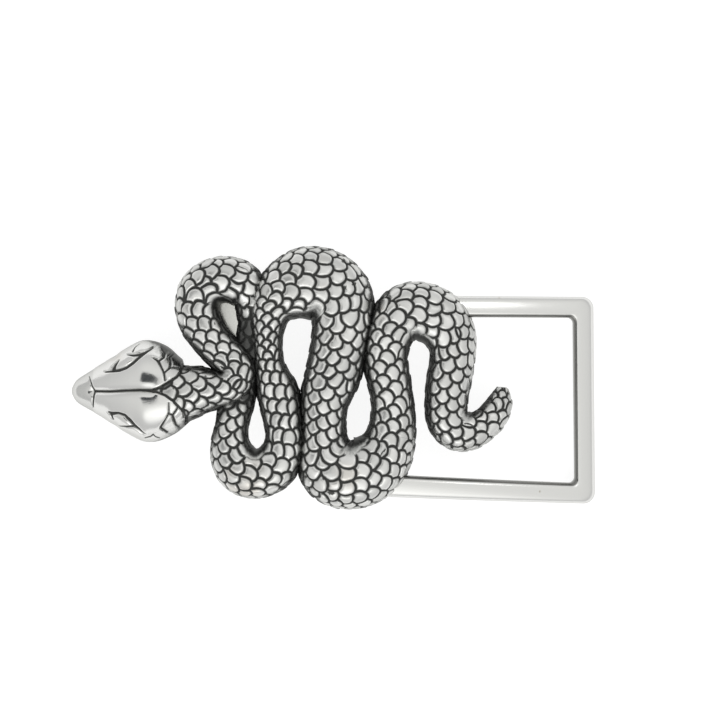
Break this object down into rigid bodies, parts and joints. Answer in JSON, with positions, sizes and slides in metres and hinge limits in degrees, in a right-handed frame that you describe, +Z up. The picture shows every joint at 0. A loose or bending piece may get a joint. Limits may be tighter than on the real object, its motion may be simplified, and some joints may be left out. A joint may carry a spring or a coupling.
{
  "type": "snake hook buckle",
  "caption": "Cast belt buckle shaped as a coiled snake with raised scales, carrying a rectangular strap loop and a hook behind its neck.",
  "frame": {"origin": "middle of the outline seen from above, on the table under the hook's tongue and the loop's lower edge", "axes": "+X from the snake's nose to the strap loop, +Y across the belt towards the big arch, +Z up through the scales"},
  "size_m": [0.0994, 0.0489, 0.0168],
  "materials": {
    "antiqued_silver": "silver plated casting, darkened in the grooves between the scales",
    "plain_silver": "polished silver plate with fine scratches",
    "hook_silver": "dull silver plate"
  },
  "bodies": {
    "root": {"snake": "antiqued_silver", "belt_loop": "plain_silver", "back_hook": "hook_silver"}
  },
  "joints": []
}
